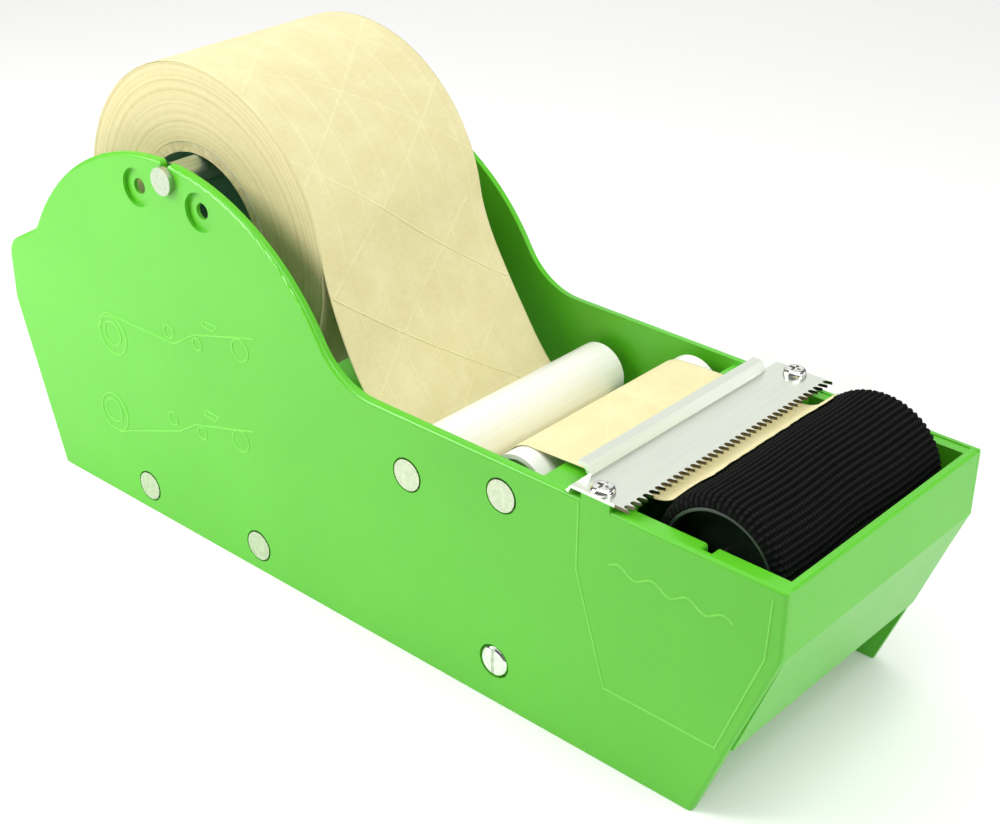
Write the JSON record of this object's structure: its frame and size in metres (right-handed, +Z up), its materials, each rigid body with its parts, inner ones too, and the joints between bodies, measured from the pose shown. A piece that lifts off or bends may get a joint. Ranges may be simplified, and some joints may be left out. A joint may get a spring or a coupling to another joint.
{
  "type": "bench dispenser for gummed paper tape",
  "caption": "Bench-top water-activated paper tape dispenser: hump-sided body, hanging tape roll, white guide rollers, toothed cutter, knitted wetting roller in a front water tank.",
  "frame": {"origin": "on the bench, under the middle of the dispenser's box", "axes": "+X from the tape roll towards the water tank, +Z up, +Y to the user's right"},
  "size_m": [0.334, 0.104, 0.1668],
  "materials": {
    "side_panel": "moulded ABS, satin gloss",
    "tank": "moulded ABS, satin gloss",
    "guide_tube": "extruded PVC tube",
    "bush": "moulded nylon",
    "blade_steel": "stamped stainless sheet",
    "post_steel": "nickel-plated steel",
    "screw_steel": "nickel-plated steel",
    "spindle_steel": "turned, polished steel",
    "spacer_tube": "zinc-plated tube",
    "kraft_paper": "reinforced gummed kraft paper",
    "core_board": "wound core board",
    "drum": "extruded ABS tube",
    "roller_cap": "moulded ABS",
    "axle_steel": "stainless rod",
    "knit_sleeve": "ribbed polyester knit"
  },
  "bodies": {
    "root": {"left_side_panel": "side_panel", "right_side_panel": "side_panel", "water_tank": "tank", "cutter_blade": "blade_steel", "blade_screws": "screw_steel", "base_posts": "post_steel", "base_post_screws": "screw_steel", "guide_axle_screws": "screw_steel", "rear_spacer_tube": "spacer_tube", "middle_spacer_tube": "spacer_tube", "front_spacer_tube": "spacer_tube", "rear_guide_axle": "post_steel", "front_guide_axle": "post_steel", "tape_web": "kraft_paper"},
    "spindle": {"roll_spindle": "spindle_steel"},
    "roll": {"tape_core": "core_board", "tape_roll": "kraft_paper"},
    "rear_guide": {"rear_guide_roller": "guide_tube", "rear_guide_left_bush": "bush", "rear_guide_right_bush": "bush"},
    "front_guide": {"front_guide_roller": "guide_tube", "front_guide_left_bush": "bush", "front_guide_right_bush": "bush"},
    "wet_axle": {"wet_roller_axle": "axle_steel"},
    "wet_roller": {"wet_roller_drum": "drum", "wet_roller_left_cap": "roller_cap", "wet_roller_right_cap": "roller_cap", "wet_roller_sleeve": "knit_sleeve"}
  },
  "joints": [
    {"name": "spindle_lift", "type": "slide", "parent": "root", "child": "spindle", "axis": [0, 0, 1], "range_m": [0, 0.09]},
    {"name": "roll_spin", "type": "hinge", "parent": "spindle", "child": "roll", "pos_m": [-0.07285, 0, 0.10965], "axis": [0, 1, 0], "continuous": true},
    {"name": "rear_guide_spin", "type": "hinge", "parent": "root", "child": "rear_guide", "pos_m": [0.03235, 0, 0.0661], "axis": [0, 1, 0], "continuous": true},
    {"name": "front_guide_spin", "type": "hinge", "parent": "root", "child": "front_guide", "pos_m": [0.07005, 0, 0.0744], "axis": [0, 1, 0], "continuous": true},
    {"name": "wet_roller_lift", "type": "slide", "parent": "root", "child": "wet_axle", "axis": [0, 0, 1], "range_m": [0, 0.045]},
    {"name": "wet_roller_spin", "type": "hinge", "parent": "wet_axle", "child": "wet_roller", "pos_m": [0.13945, 0, 0.0764], "axis": [0, 1, 0], "continuous": true}
  ],
  "couplings": [
    {"joint": "rear_guide_spin", "follows": "roll_spin", "ratio": -5.72},
    {"joint": "front_guide_spin", "follows": "roll_spin", "ratio": 5.72}
  ]
}
